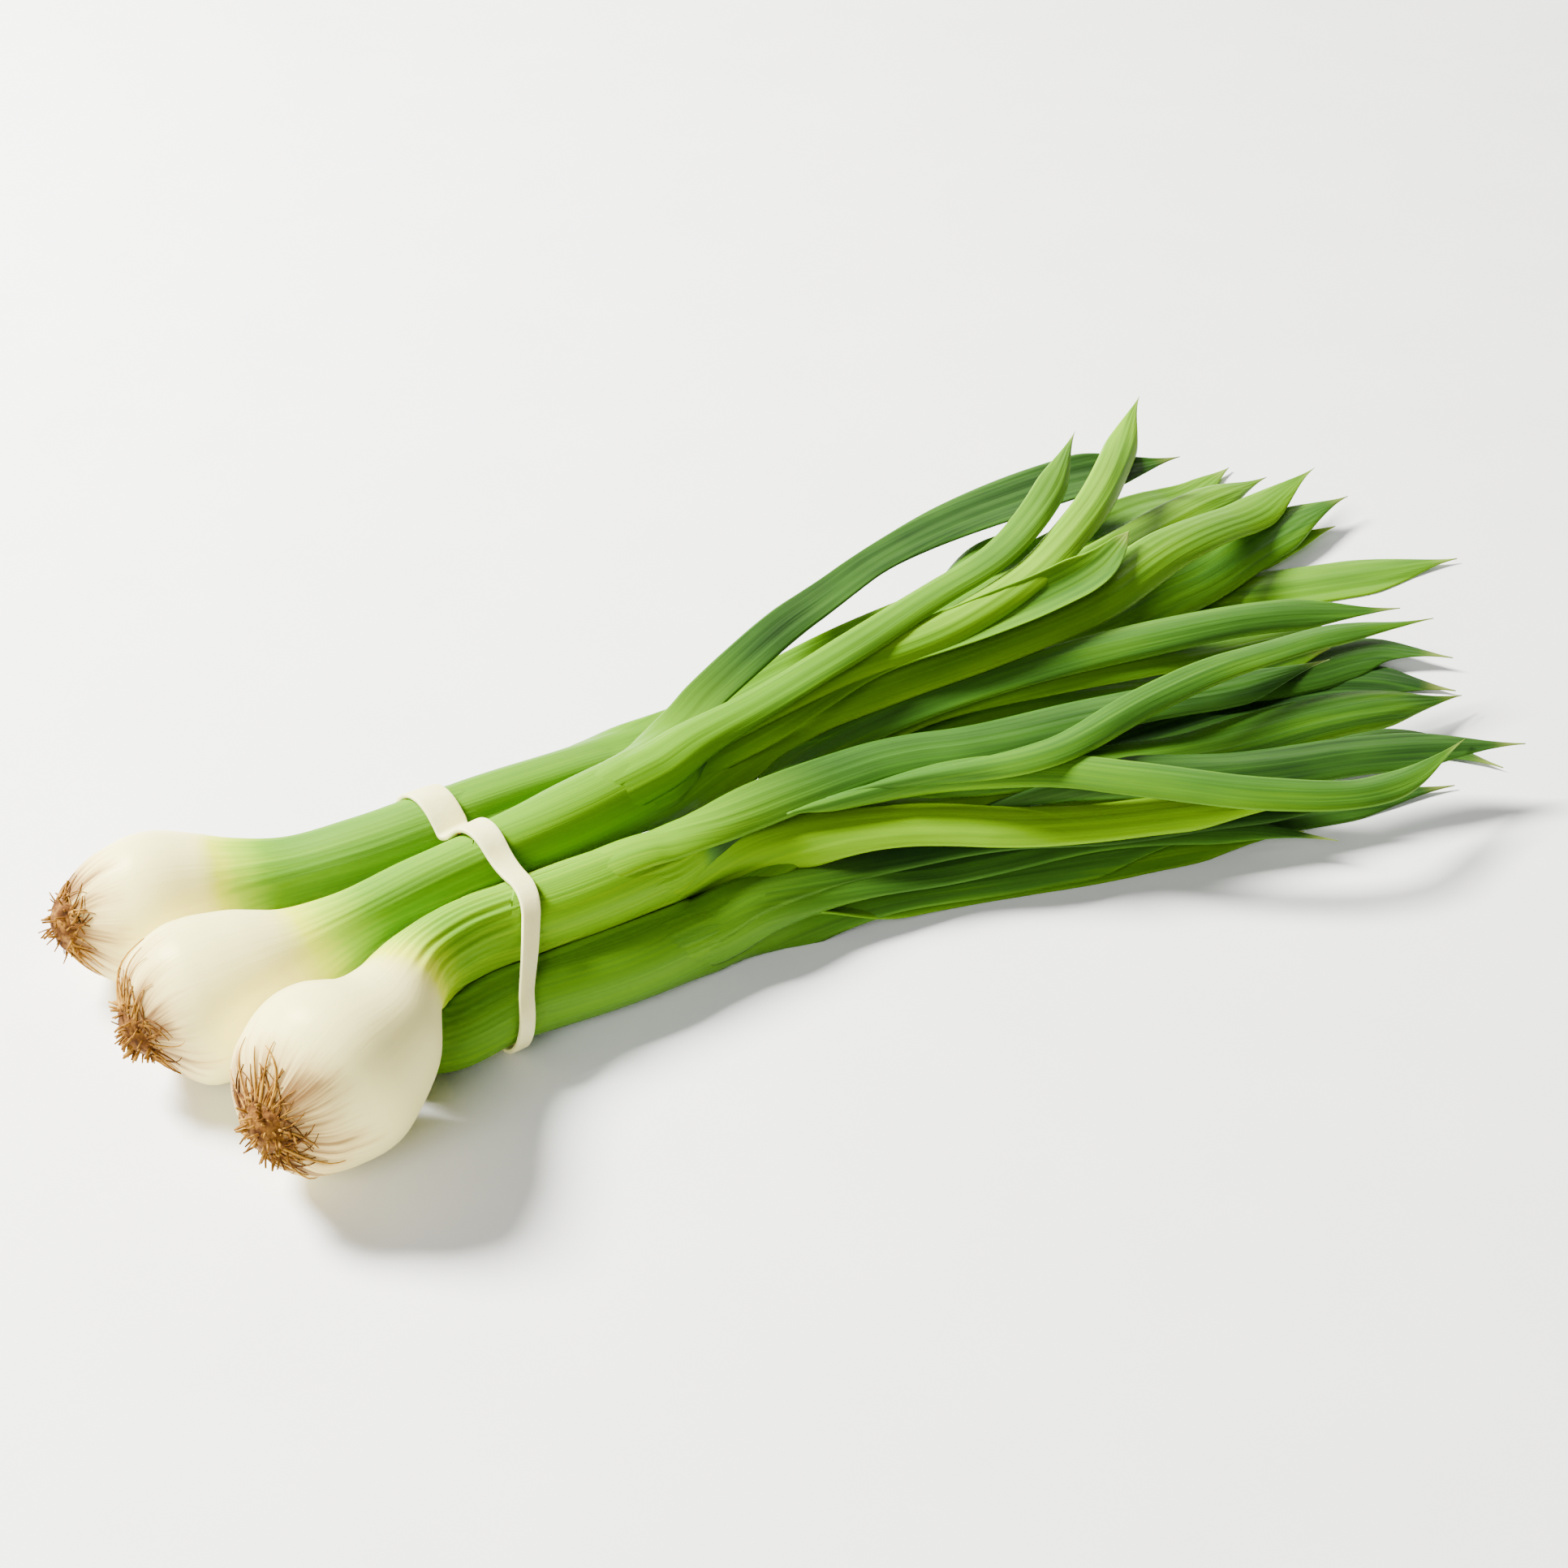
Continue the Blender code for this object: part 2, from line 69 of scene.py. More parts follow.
# How green a sheath is where its ribs reach their full height, the shares of its length
# between which they fade out, and how far they twist along it, in radians.
RIBS_GREEN = 0.2
RIBS_FADE = (0.97, 1.1)
RIBS_TWIST = 0.4
# How far the skin's grain runs in a radian round a sheath.
GRAIN = 9.0
# Where the green starts and where it is full, from the root end, and how deep it gets.
GREEN = {1: (28, 50, 0.64), 2: (30, 57, 0.58), 3: (36, 58, 0.54), 4: (2, 18, 0.66)}

# Sheaths closer together than the first of these bulge to meet; past the second they don't.
PRESSED = (1.8, 3.4)

# The second sheath's sag onto the third bulb: distances from the root end where it starts,
# peaks and stops, how far it goes, and its way round the sheath.
SAG_ONION = 2
SAG_FROM, SAG_TO = (22.0, 42.0), (42.0, 60.0)
SAG = 2.2
SAG_WAY = math.radians(233)

# Leaves. A leaf starts on its sheath or inside it, and turns into a strap beyond it.
LEAF_STEP = 1.6
LEAF_SIDES = 30
LEAF_THICK = 1.15
# How thick a leaf's edge stays where it lies on the table.
LEAF_EDGE = 0.2
# How far beyond its sheath's end a leaf's solid starts.
LEAF_GAP = 1.5
# How far a leaf lies off its sheath's skin. One that starts further back than ON_SKIN starts
# under the skin, this deep, and comes out over this length.
LIFT = 0.3
ON_SKIN = -10.0
UNDER, RISE = 0.6, 24.0
# Beyond its sheath's end a leaf closes in to this share of the end's radius, over this length.
CLOSED_IN, CLOSES_OVER = 0.7, 34.0
# A leaf that sits lower than this on its sheath, as a sine, lies on the underside.
UNDERSIDE = -0.5
# A leaf starts to come free at this share of the way to its start if that is on the sheath,
# and this far before its start if that is beyond the sheath.
FREE_SHARE, FREE_BEFORE = 0.4, 30.0
# At its start and at its tip: a share of the full width or thickness, and the length over
# which it grows to the full one.
START_WIDTH, START_WIDENS = 0.2, 12.0
START_THICK, START_THICKENS = 0.4, 30.0
TIP_THICK, TIP_THICKENS = 0.35, 40.0
TIP_WIDTH = 0.03
# The stations between which a leaf's colour goes from its sheath's to its own, and how much of
# its tip is dry.
ROOTED = (-12.0, 50.0)
DRY = 9.0
# A leaf's solid gives its width from this station on.
SETTLED = 36.0
# The shares of its length between which a leaf keeps the widest width that still follows, and
# between which it widens past its solid.
KEEPS_WIDE = (0.4, 0.7)
WIDENS = (0.35, 0.7)
# How far the edges wave, and how long the waves are on either side.
WAVE, WAVE_LENGTHS = 0.9, (38.0, 45.0)
# How deep the folds and the veins are, how many veins go to a fold, and the folds' drift.
FOLD_DEPTH, VEIN_DEPTH, VEINS_PER_FOLD = 0.06, 0.02, 3.5
DRIFT, DRIFT_LENGTH = 1.5, 90.0
# Where a leaf starts and where it is free of its sheath (stations), how far it wraps the
# sheath either way, where round the sheath it sits (degrees up from its far side, or None
# for where its solid starts), and how deep inside it starts.
INNER = (-3, 46, 60, None, 2.2)
BASES = {
    "onion_1_leaf_5": (-47, 48, 125, 120, 0.0),
    "onion_1_leaf_6": (84, 130, 30, 120, 5.0),
    "onion_2_leaf_3": (-52, 50, 128, 175, 0.0),
    "onion_2_leaf_5": (-26, 26, 62, 62, 0.0),
    "onion_2_leaf_6": (-8, 92, 45, 110, 0.8),
    "onion_2_leaf_7": (-24, 46, 55, 110, 0.0),
    "onion_3_leaf_3": (-45, 56, 122, 202, 0.0),
    "onion_3_leaf_5": (30, 88, 30, 150, 5.0),
    "onion_3_leaf_6": (-24, 28, 72, 60, -0.2),
    "onion_3_leaf_7": (30, 84, 30, 130, 4.5),
    "onion_3_leaf_8": (40, 88, 30, 120, 5.0),
    "onion_4_leaf_3": (-53, 50, 125, 190, 0.0),
    "onion_4_leaf_5": (-12, 56, 85, 125, 0.2),
    "onion_4_leaf_6": (-16, 56, 85, 75, 0.3),
    "onion_4_leaf_8": (62, 106, 30, 120, 5.0),
}
# Leaf name: tone (0 pale to 1 dark), curl in degrees over the whole width (positive for a
# dome, negative for a channel), folds along it, and how many times as wide as its solid it
# is near its end.
LEAF_LOOKS = {
    "onion_1_leaf_1": (1.00, 40, 2, 1.80),
    "onion_1_leaf_2": (0.85, 40, 2, 1.65),
    "onion_1_leaf_3": (0.38, 40, 2, 1.70),
    "onion_1_leaf_4": (0.25, 35, 1, 1.20),
    "onion_1_leaf_5": (0.40, -35, 2, 1.40),
    "onion_1_leaf_6": (0.45, 35, 1, 1.50),
    "onion_2_leaf_1": (0.53, 30, 3, 1.35),
    "onion_2_leaf_2": (0.28, 40, 2, 1.50),
    "onion_2_leaf_3": (0.30, 45, 3, 1.05),
    "onion_2_leaf_4": (0.42, -70, 2, 1.45),
    "onion_2_leaf_5": (0.88, -20, 2, 1.35),
    "onion_2_leaf_6": (0.16, 60, 2, 1.10),
    "onion_2_leaf_7": (0.40, 60, 2, 1.10),
    "onion_3_leaf_1": (0.52, 30, 1, 1.60),
    "onion_3_leaf_2": (0.38, 30, 1, 1.60),
    "onion_3_leaf_3": (0.06, 60, 2, 1.00),
    "onion_3_leaf_4": (0.61, 35, 1, 1.45),
    "onion_3_leaf_5": (0.59, 40, 2, 1.65),
    "onion_3_leaf_6": (0.82, 60, 3, 1.00),
    "onion_3_leaf_7": (0.57, 50, 1, 1.10),
    "onion_3_leaf_8": (0.59, 55, 1, 1.10),
    "onion_4_leaf_1": (0.85, 30, 1, 1.50),
    "onion_4_leaf_2": (0.52, 30, 2, 1.25),
    "onion_4_leaf_3": (0.70, 35, 3, 1.10),
    "onion_4_leaf_4": (0.85, 30, 2, 1.50),
    "onion_4_leaf_5": (0.76, 35, 1, 1.10),
    # This leaf lies under onion 3's leaves, and its full dark tone is partly its own colour and
    # partly painted shade.
    "onion_4_leaf_6": (1.00, 35, 1, 1.10),
    "onion_4_leaf_7": (0.32, 30, 1, 1.50),
    "onion_4_leaf_8": (0.82, 35, 1, 1.60),
}
# Leaves that are slim, with their upper edge where it was: how many times as wide as the
# solid at first and near the end, and the stations between which that changes.
SLIM = {"onion_2_leaf_5": (0.70, 1.3, 92.0, 146.0)}
# How far from its end a leaf starts to narrow.
TIP = 30.0
TIPS = {
    "onion_1_leaf_4": 16.0,
    "onion_1_leaf_5": 14.0,
    "onion_2_leaf_4": 7.0,
    "onion_3_leaf_1": 18.0,
}

# Root plates: their radius as a share of that of the bulb's root end, their height as a share
# of their own radius, how far their rim sinks, how lobed they are, and how rough.
PLATE, PLATE_HEIGHT, PLATE_SINK = 1.15, 0.45, 1.5
PLATE_LOBES, PLATE_ROUGH = 0.10, 0.9
PLATE_SIDES, PLATE_RINGS = 48, 14
# Where roots stand: a share of the plate's radius, how far their feet sink towards its rim,
# and the shares of that way out between which they turn outwards.
ROOTS_WITHIN, ROOTS_SINK = 0.9, 1.4
ROOTS_FLARE = (0.4, 1.0)
ROOTS_SEED = 40
# Cut roots: how many stand on each plate, their length and radius, how deep they start, how
# far they bend and hang, as shares of their length, and how they taper and pale to their end.
ROOTLETS = {1: 90, 2: 130, 3: 140, 4: 30}
ROOTLET_POINTS = 7
ROOTLET_LENGTH = (2.0, 6.0)
ROOTLET_RADIUS = (0.22, 0.45)
ROOTLET_DEEP = 0.8
ROOTLET_BEND, ROOTLET_HANG = 0.35, 0.15
ROOTLET_TAPER = (1.15, 0.6)
ROOTLET_PALE = (-0.25, 0.8)
GOLDEN_ANGLE = math.pi * (3 - math.sqrt(5))
# Strands that lie on the skin round the tuft: how many, how far along the bulb they run, and
# their radius, taper and paleness. Every twelfth is loose: it runs further and is paler.
LAID = {1: 70, 2: 90, 3: 110, 4: 12}
LAID_POINTS = 10
LAID_REACH = (0.6, 4.2)
LAID_RADIUS = (0.14, 0.3)
LAID_TAPER = (1.2, 0.4)
LAID_PALE = (-0.2, 0.7)
LOOSE_EVERY = 12
LOOSE_REACH = (5.0, 9.0)
LOOSE_PALE = 0.9
# Every strand: how far its skin stays above the table, its sides, and a way that none runs.
STRAND_CLEAR = 0.1
STRAND_SIDES = 7
STRAND_ASIDE = np.array((0.31, 0.17, 0.93))

# Band: how far its edges are rounded. Triangles are joined where they meet flatter than the
# first angle and make corners this near square; edges sharper than the last are rounded.
BAND_ROUNDING = 0.3
BAND_FLAT, BAND_SQUARE = math.radians(30), math.radians(60)
BAND_SHARP = math.radians(50)

# The camera, the lights and the table, in metres; the lens and its film in millimetres.
# Lights: place, size across, power in watts and colour.
CAMERA_TARGET = (-0.0273, 0.0020, 0.0197)
CAMERA_AZIMUTH = math.radians(-36)
CAMERA_ELEVATION = math.radians(37)
CAMERA_DISTANCE = 0.62
CAMERA_LENS, CAMERA_FILM = 65.0, 36.0
LIGHTS = {
    "key": ((-0.5, 0.8, 0.9), 0.4, 114.0, (1.0, 0.99, 0.94)),
    "fill": ((-0.9, -0.5, 0.6), 0.7, 11.0, (1.0, 1.0, 1.0)),
    "rim": ((0.7, 0.5, 0.5), 0.5, 3.0, (1.0, 1.0, 1.0)),
}
ROOM_LIGHT = 0.11
TABLE_HALF = 12.0

# Colours along ramps from 0 to 1, and single ones. From the white of a bulb to deep green:
GREENING = (
    (0.0, (0.95, 0.85, 0.33)),
    (0.12, (0.70, 0.77, 0.02)),
    (0.3, (0.34, 0.54, 0.0)),
    (0.55, (0.115, 0.28, 0.001)),
    # This stop's faint blue is partly the plant's blue-green and partly painted sheen, the bluish
    # sheen on shaded stems.
    (0.8, (0.047, 0.142, 0.016)),
    (1.0, (0.012, 0.046, 0.006)),
)
LEAF_GREENS = (
    (0.0, (0.17, 0.36, 0.002)),
    (0.3, (0.093, 0.235, 0.004)),
    (0.6, (0.041, 0.126, 0.012)),
    (1.0, (0.009, 0.031, 0.006)),
)
ROOT_BROWNS = (
    (0.25, (0.018, 0.006, 0.001)),
    (0.45, (0.084, 0.028, 0.002)),
    (0.62, (0.195, 0.080, 0.006)),
    (0.85, (0.46, 0.24, 0.03)),
)
CREAMS = ((0.3, (0.84, 0.77, 0.30)), (0.7, (0.95, 0.89, 0.42)))
TABLE_GREYS = ((0.3, (0.86, 0.86, 0.85)), (0.7, (0.90, 0.90, 0.89)))
TAN = (0.55, 0.30, 0.085)
BROWN = (0.15, 0.055, 0.014)
DRY_TIP = (0.36, 0.42, 0.08)


# Curves and meshes


def ease(value, low, high):
    """0 below low, 1 above high, and a smooth step between."""
    share = np.clip((np.asarray(value, float) - low) / (high - low), 0.0, 1.0)
    return share * share * (3 - 2 * share)


def mix(a, b, share):
    return a + (b - a) * share


def unit(vectors):
    return vectors / np.linalg.norm(vectors, axis=-1, keepdims=True)


def follow(knots, values, stations):
    """Values at the stations of a smooth curve through the given ones."""
    slopes = np.gradient(values, knots, axis=0)
    stations = np.clip(stations, knots[0], knots[-1])
    span = np.clip(np.searchsorted(knots, stations, side="right") - 1, 0, len(knots) - 2)
    width = knots[span + 1] - knots[span]
    t = (stations - knots[span]) / width
    if values.ndim > 1:
        width, t = width[:, None], t[:, None]
    return (
        values[span] * (2 * t**3 - 3 * t**2 + 1)
        + values[span + 1] * (3 * t**2 - 2 * t**3)
        + slopes[span] * width * (t**3 - 2 * t**2 + t)
        + slopes[span + 1] * width * (t**3 - t**2)
    )


def lengths(points):
    """Distance along a line of points, from its first one."""
    steps = np.linalg.norm(np.diff(points, axis=0), axis=1)
    return np.concatenate([[0.0], np.cumsum(steps)])


def wobble(values, seed, scale):
    """Smooth noise from -1 to 1 along a line of numbers."""
    return np.array([noise.noise((value / scale, seed * WOBBLE_SEED, 0.5)) for value in values])


def welded(node):
    """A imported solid's corners, without doubles, and its triangles."""
    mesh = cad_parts[node].data
    mesh.calc_loop_triangles()
    points = np.array([vert.co for vert in mesh.vertices]) / MM
    spots, where = np.unique(points.round(2), axis=0, return_inverse=True)
    corners = np.array([triangle.vertices for triangle in mesh.loop_triangles])
    return spots, where.reshape(-1)[corners]


def sections(node, end):
    """The rings of corners of a lofted solid, from its end towards -X (-1) or +X (1)."""
    spots, faces = welded(node)
    tip = np.argmax(end * spots[:, 0])
    a, b, c = (spots[faces[(faces == tip).any(axis=1)][:, i]] for i in range(3))
    facing = unit(np.cross(b - a, c - a))
    cap = facing[np.argmax(np.abs(facing[:, 0]))]
    offset = spots - spots[tip]
    on_end = (np.abs(offset @ cap) < END_FLAT) & (np.abs(offset).max(axis=1) < END_ACROSS)
    ring = set(np.flatnonzero(on_end))
    links = {i: set() for i in range(len(spots))}
    for a, b, c in faces:
        links[a] |= {b, c}
        links[b] |= {a, c}
        links[c] |= {a, b}
    rings = []
    seen = set()
    while ring:
        rings.append(spots[sorted(ring)])
        seen |= ring
        ring = set().union(*(links[i] for i in ring)) - seen
    return rings


def skin(rings):
    """Corners and faces of a closed skin through rings of the same number of points."""
    rings = np.asarray(rings)
    count, sides = rings.shape[:2]
    points = rings.reshape(-1, 3)
    row, column = np.meshgrid(np.arange(count - 1), np.arange(sides), indexing="ij")
    beside = (column + 1) % sides
    here, next_row = row * sides, (row + 1) * sides
    corners = np.stack([here + column, here + beside, next_row + beside, next_row + column], axis=-1)
    faces = [tuple(face) for face in corners.reshape(-1, 4).tolist()]
    faces.append(tuple(range(sides))[::-1])
    faces.append(tuple(range((count - 1) * sides, count * sides)))
    return points, faces


def spread(shape, **values):
    """Each value as one number for every point of a skin with rings of this shape."""
    return {key: np.broadcast_to(value, shape) for key, value in values.items()}


def piece(name, points, faces, material, node, values):
    """A smooth-shaded mesh in metres that stands for a CAD node and rides with it."""
    mesh = bpy.data.meshes.new(name)
    points = np.array(points)
    points[:, 2] = np.maximum(points[:, 2], ABOVE_TABLE)
    mesh.from_pydata((points * MM).tolist(), [], faces)
    mesh.shade_smooth()
    for key, numbers in values.items():
        layer = mesh.attributes.new(key, "FLOAT", "POINT")
        layer.data.foreach_set("value", np.asarray(numbers, np.float32).ravel())
    bm = bmesh.new()
    bm.from_mesh(mesh)
    bmesh.ops.recalc_face_normals(bm, faces=bm.faces)
    bm.to_mesh(mesh)
    bm.free()
    mesh.materials.append(material)
    obj = bpy.data.objects.new(name, mesh)
    bpy.context.scene.collection.objects.link(obj)
    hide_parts(node)
    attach(obj, "root")


# Materials


class Nodes:
    """A short way to write a material's nodes."""

    def __init__(self, name):
        self.material = bpy.data.materials.new(name)
        self.material.use_nodes = True
        self.tree = self.material.node_tree
        self.shader = self.tree.nodes["Principled BSDF"]

    def add(self, kind, **settings):
        node = self.tree.nodes.new(kind)
        for key, value in settings.items():
            setattr(node, key, value)
        return node

    def link(self, source, socket):
        """Feed a socket from another one, or set it to a plain value."""
        if hasattr(source, "is_linked"):
            self.tree.links.new(source, socket)
        else:
            socket.default_value = source

    def value(self, name):
        return self.add("ShaderNodeAttribute", attribute_name=name).outputs["Fac"]

    def math(self, operation, a, b=0.0, clamp=False):
        node = self.add("ShaderNodeMath", operation=operation, use_clamp=clamp)
        self.link(a, node.inputs[0])
        self.link(b, node.inputs[1])
        return node.outputs[0]

    def times(self, a, b):
        return self.math("MULTIPLY", a, b)

    def sway(self, value, noise, amount):
        """A value with a noise added that has its middle at nothing."""
        return self.math("ADD", value, self.times(self.math("SUBTRACT", noise, 0.5), amount))

    def join(self, x, y, z):
        node = self.add("ShaderNodeCombineXYZ")
        for source, socket in zip((x, y, z), node.inputs):
            self.link(source, socket)
        return node.outputs[0]

    def noise(self, vector, scale, detail=3.0, roughness=0.55):
        node = self.add("ShaderNodeTexNoise")
        self.link(vector, node.inputs["Vector"])
        node.inputs["Scale"].default_value = scale
        node.inputs["Detail"].default_value = detail
        node.inputs["Roughness"].default_value = roughness
        return node.outputs["Fac"]

    def grain(self, across, along, seed, scales, scale, detail, roughness=0.55):
        """Noise that is drawn out along a plant: scales are across it and along it."""
        spot = self.join(self.times(across, scales[0]), self.times(along, scales[1]), seed)
        return self.noise(spot, scale, detail, roughness)

    def range(self, value, low, high, to_low=0.0, to_high=1.0):
        node = self.add("ShaderNodeMapRange", interpolation_type="SMOOTHSTEP")
        for number, key in zip((value, low, high, to_low, to_high), node.inputs):
            self.link(number, key)
        return node.outputs[0]

    def ramp(self, value, stops):
        node = self.add("ShaderNodeValToRGB")
        self.link(value, node.inputs[0])
        line = node.color_ramp.elements
        for i, (place, colour) in enumerate(stops):
            stop = line[i] if i < 2 else line.new(place)
            stop.position = place
            stop.color = (*colour, 1.0)
        return node.outputs[0]

    def blend(self, share, a, b):
        node = self.add("ShaderNodeMix", data_type="RGBA")
        self.link(share, node.inputs["Factor"])
        for source, socket in ((a, node.inputs[6]), (b, node.inputs[7])):
            self.link((*source, 1.0) if isinstance(source, tuple) else source, socket)
        return node.outputs[2]

    def bump(self, height, distance, strength=1.0):
        node = self.add("ShaderNodeBump")
        self.link(height, node.inputs["Height"])
        node.inputs["Distance"].default_value = distance
        node.inputs["Strength"].default_value = strength
        self.link(node.outputs[0], self.shader.inputs["Normal"])

    def flesh(self, weight, radius, scale):
        """Light that spreads under the skin."""
        self.shader.inputs["Subsurface Weight"].default_value = weight
        self.shader.inputs["Subsurface Radius"].default_value = radius
        self.shader.inputs["Subsurface Scale"].default_value = scale


def sheath_material():
    """White bulb, brown at the roots, through yellow-green to the green of the leaves."""
    n = Nodes("bulb_and_sheath")
    along, around = n.value("along"), n.value("round")
    # green also carries the painted shade of the core among the leaves.
    green, from_root = n.value("green"), n.value("root")
    seed = n.value("seed")

    # Streaks in the green. The white has none.
    veins = n.grain(around, along, seed, (1.0, 0.02), 1.1, 3.0)
    fine = n.grain(around, along, seed, (1.0, 0.03), 3.2, 2.0)
    broad = n.grain(around, along, seed, (0.25, 0.02), 1.0, 2.0)
    streaks = n.sway(n.sway(0.0, veins, 0.22), broad, 0.25)
    streaks = n.times(streaks, n.range(green, 0.02, 0.25))
    colour = n.ramp(n.math("ADD", green, streaks), GREENING)

    # The stain round the roots, with a ragged edge.
    lumps = n.grain(around, from_root, seed, (0.45, 0.05), 1.0, 2.0)
    hairs = n.grain(around, from_root, seed, (1.6, 0.05), 1.0, 4.0, 0.7)
    reach = n.sway(n.sway(from_root, lumps, -13.0), hairs, -12.0)
    tan = n.range(reach, 3.5, 12.5, 1.0, 0.0)
    brown = n.range(reach, 0.5, 6.5, 1.0, 0.0)
    colour = n.blend(n.times(tan, 0.6), colour, TAN)
    colour = n.blend(n.times(brown, 0.92), colour, BROWN)

    n.link(colour, n.shader.inputs["Base Color"])
    matt = n.math("ADD", n.range(tan, 0.0, 1.0, 0.34, 0.6), n.range(green, 0.0, 0.4, 0.0, 0.26))
    n.link(matt, n.shader.inputs["Roughness"])
    n.shader.inputs["Specular IOR Level"].default_value = 0.14
    n.shader.inputs["Specular Tint"].default_value = (1.0, 1.0, 0.4, 1.0)
    n.flesh(0.25, (1.0, 0.8, 0.45), 0.0025)
    n.bump(n.math("ADD", veins, n.times(fine, 0.5)), 0.00012, 0.6)
    return n.material


def leaf_material():
    """Waxy green with fine veins: yellow-green at the base and edges, blue-green where dark."""
    n = Nodes("leaf")
    along, across = n.value("along"), n.value("across")
    tone, seed, base = n.value("tone"), n.value("seed"), n.value("base")
    edge, tip = n.value("edge"), n.value("tip")

    veins = n.grain(across, along, seed, (1.0, 0.012), 1.5, 2.0)
    stripes = n.grain(across, along, seed, (0.4, 0.012), 1.0, 2.0)
    patches = n.grain(across, along, seed, (0.08, 0.03), 1.0, 2.0)
    depth = n.sway(n.sway(n.sway(tone, veins, 0.35), stripes, 0.5), patches, 0.4)
    depth = n.math("SUBTRACT", depth, n.times(edge, 0.22), clamp=True)
    colour = n.ramp(depth, LEAF_GREENS)
    rooted = n.ramp(n.sway(n.value("green"), veins, 0.22), GREENING)
    colour = n.blend(base, colour, rooted)
    colour = n.blend(n.times(tip, 0.5), colour, DRY_TIP)

    n.link(colour, n.shader.inputs["Base Color"])
    n.link(n.range(stripes, 0.3, 0.7, 0.42, 0.56), n.shader.inputs["Roughness"])
    n.shader.inputs["Specular IOR Level"].default_value = 0.13
    n.shader.inputs["Specular Tint"].default_value = (0.85, 1.0, 0.3, 1.0)
    n.flesh(0.06, (0.5, 1.0, 0.2), 0.001)
    n.bump(n.math("ADD", veins, n.times(stripes, 0.8)), 0.00016, 0.7)
    return n.material


def root_material():
    """Dry, fibrous brown with paler cut ends."""
    n = Nodes("roots")
    where = n.add("ShaderNodeTexCoord").outputs["Object"]
    patches = n.noise(where, 420.0, 4.0, 0.6)
    share = n.math("ADD", patches, n.times(n.value("pale"), 0.35), clamp=True)
    n.link(n.ramp(share, ROOT_BROWNS), n.shader.inputs["Base Color"])
    n.link(n.range(patches, 0.3, 0.7, 0.95, 0.7), n.shader.inputs["Roughness"])
    n.shader.inputs["Specular IOR Level"].default_value = 0.15
    n.bump(n.noise(where, 1500.0, 3.0), 0.0002, 0.6)
    return n.material


def band_material():
    """Natural rubber: cream, matt, faintly lined and dusty."""
    n = Nodes("rubber_band")
    where = n.add("ShaderNodeTexCoord").outputs["Object"]
    patches = n.noise(where, 160.0, 4.0, 0.6)
    lines = n.noise(where, 900.0, 2.0)
    n.link(n.ramp(patches, CREAMS), n.shader.inputs["Base Color"])
    n.link(n.range(patches, 0.3, 0.7, 0.42, 0.6), n.shader.inputs["Roughness"])
    n.flesh(0.25, (1.0, 0.7, 0.4), 0.0015)
    n.bump(n.math("ADD", patches, n.times(lines, 0.3)), 0.00035, 0.5)
    return n.material


# Bulbs and sheaths


class Sheath:
    """The line and radius of one onion's bulb and sheath, by station."""

    def __init__(self, number):
        self.number = number
        rings = sections(f"onion_{number}_bulb_and_sheath", 1)[::-1]
        centres = np.array([ring.mean(axis=0) for ring in rings])
        radii = np.array([np.linalg.norm(ring - ring.mean(axis=0), axis=1).mean() for ring in rings])
        self.root_way = unit(centres[0] - centres[1])
        self.root_radius = radii[0]
        self.end_radius = radii[-1]
        self.length = lengths(centres)[-1]
        leaves = (name for name in LEAF_LOOKS if name.startswith(f"onion_{number}_"))
        self.leaves = {name: leaf_line(name) for name in leaves}
        core = [self.among_leaves(station) for station, _ in CORE]
        self.centres = np.vstack([centres, core])
        self.radii = np.concatenate([radii, [share * radii[-1] for _, share in CORE]])
        self.stations = lengths(self.centres) - self.length

    def among_leaves(self, station):
        """The middle of the onion's leaves at a station beyond the sheath."""
        spots = [follow(knots, middles, [station])[0] for knots, middles, _ in self.leaves.values()]
        return np.mean(spots, axis=0)

    def green(self, stations):
        """How green the sheath is at the stations, from 0 for white."""
        start, full, depth = GREEN[self.number]
        return depth * ease(np.asarray(stations) + self.length, start, full)

    def at(self, stations):
        """Centres, radii, and vectors along, to the left and upwards, at the stations."""
        centres = follow(self.stations, self.centres, stations)
        radii = follow(self.stations, self.radii, stations)
        ways = np.gradient(self.centres, self.stations, axis=0)
        along = unit(follow(self.stations, ways, stations))
        left = unit(np.cross(UP, along))
        return centres, radii, along, left, np.cross(along, left)


def pressed(points, others):
    """How far each point bulges to meet the other sheaths where they lie close."""
    gap = np.full(points.shape[:2], np.inf)
    for other in others:
        centres, radii, *_ = other.at(np.arange(other.stations[0], 0.0, 2 * SHEATH_STEP))
        apart = np.linalg.norm(points[:, :, None] - centres, axis=3) - radii
        gap = np.minimum(gap, apart.min(axis=2))
    gap = np.maximum(gap, 0.0)
    return 0.5 * gap * (1 - ease(gap, *PRESSED))


def sagging(from_root, turn):
    """How far a sheath sags at distances from its root end and ways round it."""
    share = ease(from_root, *SAG_FROM) * (1 - ease(from_root, *SAG_TO))
    return SAG * share * np.clip(np.cos(turn - SAG_WAY), 0, 1) ** 2


